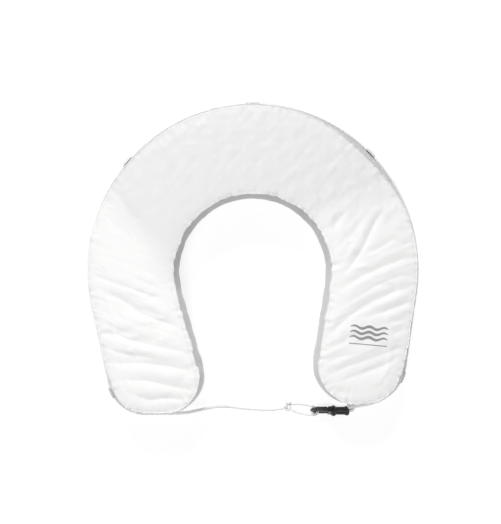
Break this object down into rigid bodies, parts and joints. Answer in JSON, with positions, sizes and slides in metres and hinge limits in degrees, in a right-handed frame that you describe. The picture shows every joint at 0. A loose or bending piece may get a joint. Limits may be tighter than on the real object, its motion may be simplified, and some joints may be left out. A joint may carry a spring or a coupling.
{
  "type": "horseshoe lifebuoy",
  "caption": "Horseshoe lifebuoy with a foam core in a padded white fabric cover, a grab line round its outside and a closing line with a snap hook across the mouth.",
  "frame": {"origin": "centre of the buoy's outline, without the closing line and its hook, on the surface that its back panel rests on", "axes": "+X across the legs, +Y from the mouth to the crown, +Z from the back panel to the front panel"},
  "size_m": [0.6171, 0.5947, 0.1],
  "materials": {
    "cover_fabric": "coated satin",
    "foam": "matte closed-cell foam",
    "webbing": "woven",
    "rope": "braided",
    "zip_tape": "woven",
    "zip_plastic": "moulded",
    "black_plastic": "satin moulded",
    "steel": "drawn"
  },
  "bodies": {
    "buoy": {"foam_layer_back": "foam", "foam_layer_middle": "foam", "foam_layer_front": "foam", "front_panel": "cover_fabric", "back_panel": "cover_fabric", "inner_gusset": "cover_fabric", "outer_gusset_left": "cover_fabric", "outer_gusset_right": "cover_fabric", "crown_gusset_front": "cover_fabric", "crown_gusset_back": "cover_fabric", "zip_tape_front": "zip_tape", "zip_tape_back": "zip_tape", "zip_coil": "zip_plastic", "zip_stops": "zip_plastic", "grab_line": "rope", "rope_tab_crown": "webbing", "rope_tab_upper_left": "webbing", "rope_tab_upper_right": "webbing", "rope_tab_lower_left": "webbing", "rope_tab_lower_right": "webbing", "closing_line": "rope", "eye_loop": "rope", "eye_knot": "rope", "tail_line": "rope", "tail_knot": "rope", "swivel_barrel": "black_plastic"},
    "snap_hook": {"hook_body": "black_plastic", "gate_pin": "steel", "gate_spring": "steel", "swivel_pin": "steel"},
    "gate": {"hook_gate": "black_plastic"},
    "slider": {"zip_slider": "zip_plastic"},
    "pull": {"zip_pull": "zip_plastic"}
  },
  "joints": [
    {"name": "hook_swivel", "type": "hinge", "parent": "buoy", "child": "snap_hook", "pos_m": [0.1105, -0.293, 0.0109], "axis": [1, 0, 0], "range_deg": [-18, 18]},
    {"name": "gate_hinge", "type": "hinge", "parent": "snap_hook", "child": "gate", "pos_m": [0.1475, -0.28835, 0.02087], "axis": [0, -0.9063, 0.4226], "range_deg": [0, 12], "stiffness_Nm_per_rad": 0.02, "springref_deg": -17.19},
    {"name": "zip_travel", "type": "hinge", "parent": "buoy", "child": "slider", "pos_m": [0, -0.019, 0.03], "axis": [0, 0, 1], "range_deg": [-70, 0]},
    {"name": "pull_flip", "type": "hinge", "parent": "slider", "child": "pull", "pos_m": [-0.17411, 0.23433, 0.03], "axis": [0, 0, 1], "range_deg": [0, 170]}
  ]
}
